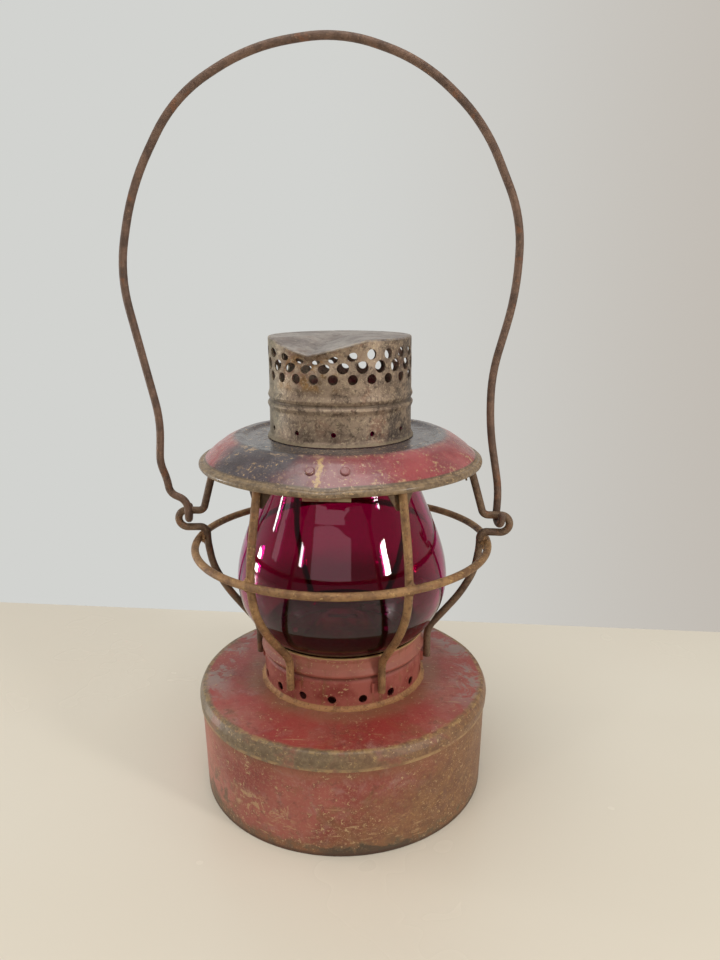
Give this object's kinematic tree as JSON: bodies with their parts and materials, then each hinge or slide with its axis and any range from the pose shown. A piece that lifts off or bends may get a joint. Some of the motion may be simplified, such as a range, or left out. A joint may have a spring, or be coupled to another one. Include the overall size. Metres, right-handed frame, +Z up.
{
  "type": "railway lantern",
  "caption": "Railway hand lantern: oil-tank drum base, caged ruby globe, hinged vented hood and swinging wire bail.",
  "frame": {"origin": "centre of the flat underside of the drum base", "axes": "+Z up through the chimney; -Y towards the catch at the front of the hood; X along the bail's swing axis"},
  "size_m": [0.1905, 0.153, 0.3644],
  "materials": {
    "base_paint": "faded red paint worn to brown tinned steel, satin",
    "bare_tin": "dull tinned steel with light rust",
    "solder": "rough ochre-stained solder",
    "ruby_glass": "deep ruby, clear and glossy",
    "cage_wire": "brown rusty steel wire with traces of tan paint",
    "bail_wire": "dark brown rusted steel wire",
    "hood_paint": "glossy dark red paint blackened by soot, bare tan rim",
    "sooty_tin": "tarnished grey-brown tinned steel, speckled",
    "fittings": "worn steel plate with remains of paint",
    "burner_brass": "aged brass",
    "wick_cotton": "woven cotton, charred at the top"
  },
  "bodies": {
    "lantern": {"base_drum": "base_paint", "base_bottom": "bare_tin", "base_top": "base_paint", "collar_solder": "solder", "collar": "base_paint", "foot_straps": "base_paint", "globe_seat": "bare_tin", "globe": "ruby_glass", "burner_neck": "burner_brass", "burner_body": "burner_brass", "burner_cone": "burner_brass", "wick_tube": "burner_brass", "guard_upright_front_left": "cage_wire", "guard_upright_front_right": "cage_wire", "guard_upright_back_left": "cage_wire", "guard_upright_back_right": "cage_wire", "ear_wire_left": "cage_wire", "ear_wire_right": "cage_wire", "guard_ring": "cage_wire", "crown_ring": "cage_wire", "wire_tabs": "cage_wire", "crown_catch": "cage_wire", "hinge_lugs": "fittings", "hinge_pin": "fittings"},
    "hood": {"hood_brim": "hood_paint", "chimney_tube": "sooty_tin", "chimney_cap": "sooty_tin", "globe_holder": "bare_tin", "latch_plate": "fittings", "latch_rivets": "fittings", "hinge_leaf": "fittings", "hinge_rivets": "fittings"},
    "bail": {"bail": "bail_wire"},
    "wick_raiser": {"wick_shaft": "burner_brass", "wick_stars": "burner_brass", "wick_knob": "burner_brass"},
    "wick": {"wick": "wick_cotton"}
  },
  "joints": [
    {"name": "bail_swing", "type": "hinge", "parent": "lantern", "child": "bail", "pos_m": [0, 0, 0.1442], "axis": [1, 0, 0], "range_deg": [-112, 112]},
    {"name": "hood_hinge", "type": "hinge", "parent": "lantern", "child": "hood", "pos_m": [0, 0.074, 0.1731], "axis": [-1, 0, 0], "range_deg": [0, 105]},
    {"name": "wick_turn", "type": "hinge", "parent": "lantern", "child": "wick_raiser", "pos_m": [0, 0.0053, 0.065], "axis": [-1, 0, 0], "range_deg": [0, 180]},
    {"name": "wick_lift", "type": "slide", "parent": "lantern", "child": "wick", "axis": [0, 0, 1], "range_m": [0, 0.012]}
  ],
  "couplings": [
    {"joint": "wick_lift", "follows": "wick_turn", "m_per_rad": 0.0038}
  ]
}
